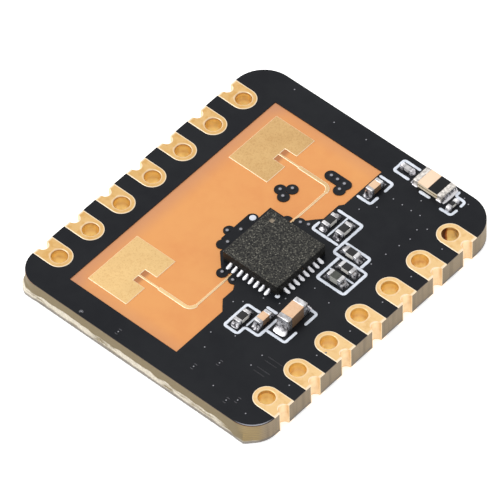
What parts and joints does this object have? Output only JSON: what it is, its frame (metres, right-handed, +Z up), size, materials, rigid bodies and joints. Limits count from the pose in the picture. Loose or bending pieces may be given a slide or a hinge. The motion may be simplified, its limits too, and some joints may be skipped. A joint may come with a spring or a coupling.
{
  "type": "microwave radar sensor module",
  "caption": "Small rounded circuit board with plated half-hole contacts along both long edges, two copper patch antennas in a bare window and a square radar chip that senses motion.",
  "frame": {"origin": "centre of the board's underside, on the plane of its lower lands", "axes": "+Z up out of the chip side, +Y along the contact rows towards the end with the diode, +X across the rows towards the chip"},
  "size_m": [0.0178, 0.0206, 0.0024],
  "materials": {
    "laminate": "glass-epoxy laminate, bare in the window and at the edges",
    "solder_mask": "black solder mask, satin",
    "masked_copper": "copper sheet under black solder mask",
    "contact_gold": "gold-plated copper",
    "antenna_gold": "gold-plated copper, finely grained",
    "chip_plastic": "moulded epoxy, charcoal, finely speckled",
    "tinned_metal": "tin-plated metal, bright",
    "solder": "reflowed solder, shiny",
    "resistor_ceramic": "pale alumina",
    "resistor_overcoat": "black glaze",
    "capacitor_ceramic": "tan ceramic, satin",
    "inductor_ferrite": "dark grey-green ferrite",
    "diode_body": "pale moulding with a black band"
  },
  "bodies": {
    "root": {"laminate": "laminate", "upper_mask": "solder_mask", "mask_islands": "solder_mask", "ground_plane": "masked_copper", "far_patch_antenna": "antenna_gold", "near_patch_antenna": "antenna_gold", "left_contact_1": "contact_gold", "left_contact_2": "contact_gold", "left_contact_3": "contact_gold", "left_contact_4": "contact_gold", "left_contact_5": "contact_gold", "left_contact_6": "contact_gold", "left_contact_7": "contact_gold", "right_contact_1": "contact_gold", "right_contact_2": "contact_gold", "right_contact_3": "contact_gold", "right_contact_4": "contact_gold", "right_contact_5": "contact_gold", "right_contact_6": "contact_gold", "right_contact_7": "contact_gold", "radar_chip_body": "chip_plastic", "radar_chip_leads": "tinned_metal", "radar_chip_heat_pad": "tinned_metal", "radar_chip_solder": "solder", "resistor_1_body": "resistor_ceramic", "resistor_1_terminals": "tinned_metal", "resistor_2_body": "resistor_ceramic", "resistor_2_terminals": "tinned_metal", "resistor_3_body": "resistor_ceramic", "resistor_3_terminals": "tinned_metal", "resistor_4_body": "resistor_ceramic", "resistor_4_terminals": "tinned_metal", "resistor_5_body": "resistor_ceramic", "resistor_5_terminals": "tinned_metal", "resistor_6_body": "resistor_ceramic", "resistor_6_terminals": "tinned_metal", "inductor_body": "inductor_ferrite", "inductor_terminals": "tinned_metal", "supply_capacitor_body": "capacitor_ceramic", "supply_capacitor_terminals": "tinned_metal", "near_bypass_capacitor_body": "capacitor_ceramic", "near_bypass_capacitor_terminals": "tinned_metal", "far_bypass_capacitor_body": "capacitor_ceramic", "far_bypass_capacitor_terminals": "tinned_metal", "corner_capacitor_body": "resistor_ceramic", "corner_capacitor_terminals": "tinned_metal", "protection_diode_body": "diode_body", "protection_diode_terminals": "tinned_metal", "resistor_overcoats": "resistor_overcoat", "part_solder": "solder"}
  },
  "joints": []
}
